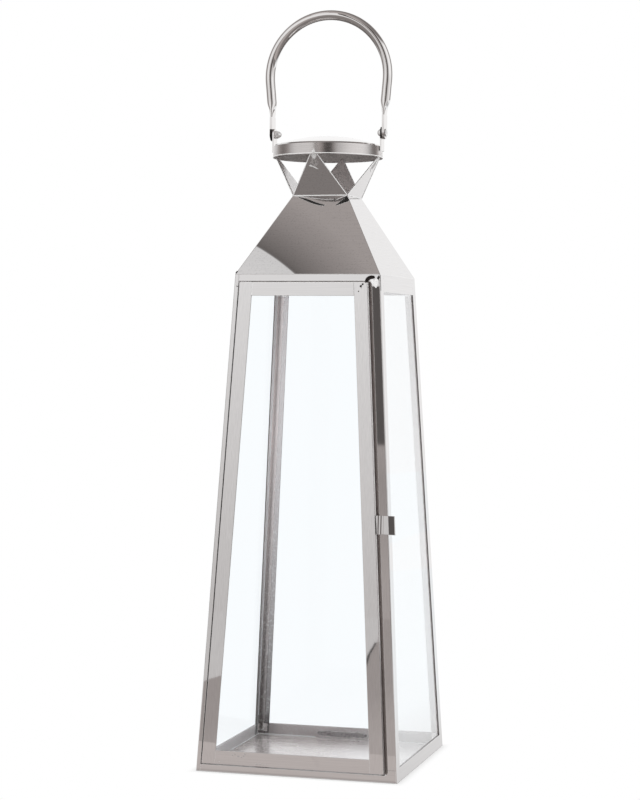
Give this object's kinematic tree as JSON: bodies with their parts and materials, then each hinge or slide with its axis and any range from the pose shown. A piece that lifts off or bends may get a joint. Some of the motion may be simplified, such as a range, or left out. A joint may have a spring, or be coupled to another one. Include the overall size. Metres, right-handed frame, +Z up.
{
  "type": "candle lantern",
  "caption": "Tall tapering candle lantern of polished steel sheet with glazed sides, a hinged glass door, a strip latch, a folded roof under a round vent cap and a swinging bail handle.",
  "frame": {"origin": "middle of the base, on the surface that the lantern stands on", "axes": "+Z up along the lantern's axis; the door faces -Y, its hinge line is at -X and its latch at +X; the handle swings about X"},
  "size_m": [0.2, 0.2, 0.7433],
  "materials": {
    "frame_steel": "mirror-polished stainless steel sheet",
    "door_steel": "mirror-polished stainless steel sheet with faint smudges",
    "roof_steel": "mirror-polished stainless steel sheet, lightly brushed on the petals",
    "cap_steel": "satin stainless steel, brushed round the band",
    "handle_steel": "stainless steel tube, polished along its length",
    "rivet_steel": "bright stainless steel",
    "floor_steel": "satin stainless steel sheet",
    "clip_steel": "bent strip of stainless steel, mill finish",
    "pane_glass": "clear float glass with a faint cool tint"
  },
  "bodies": {
    "lantern": {"post_front_left": "frame_steel", "post_front_right": "frame_steel", "post_back_right": "frame_steel", "post_back_left": "frame_steel", "sill_right": "frame_steel", "sill_back": "frame_steel", "sill_left": "frame_steel", "eave_rail_right": "frame_steel", "eave_rail_back": "frame_steel", "eave_rail_left": "frame_steel", "threshold": "frame_steel", "header": "frame_steel", "door_stop": "frame_steel", "roof_plate_front": "roof_steel", "roof_plate_right": "roof_steel", "roof_plate_back": "roof_steel", "roof_plate_left": "roof_steel", "cap": "cap_steel", "ear_right": "handle_steel", "ear_left": "handle_steel", "handle_rivet_right": "rivet_steel", "handle_rivet_left": "rivet_steel", "pivot_pin_bottom": "rivet_steel", "pivot_pin_top": "rivet_steel", "floor_plate": "floor_steel", "pane_clips_right": "clip_steel", "pane_clips_back": "clip_steel", "pane_clips_left": "clip_steel", "pane_right": "pane_glass", "pane_back": "pane_glass", "pane_left": "pane_glass"},
    "door": {"door_stile_hinge": "door_steel", "door_stile_latch": "door_steel", "door_rail_bottom": "door_steel", "door_rail_top": "door_steel", "door_pane": "pane_glass", "door_clips": "clip_steel", "latch": "door_steel"},
    "handle": {"handle": "handle_steel"}
  },
  "joints": [
    {"name": "door_hinge", "type": "hinge", "parent": "lantern", "child": "door", "pos_m": [-0.0782, -0.0836, 0.23985], "axis": [-0.0573, -0.0573, -0.9967], "range_deg": [0, 105]},
    {"name": "handle_swing", "type": "hinge", "parent": "lantern", "child": "handle", "pos_m": [0, 0, 0.6213], "axis": [1, 0, 0], "range_deg": [-150, 150]}
  ]
}
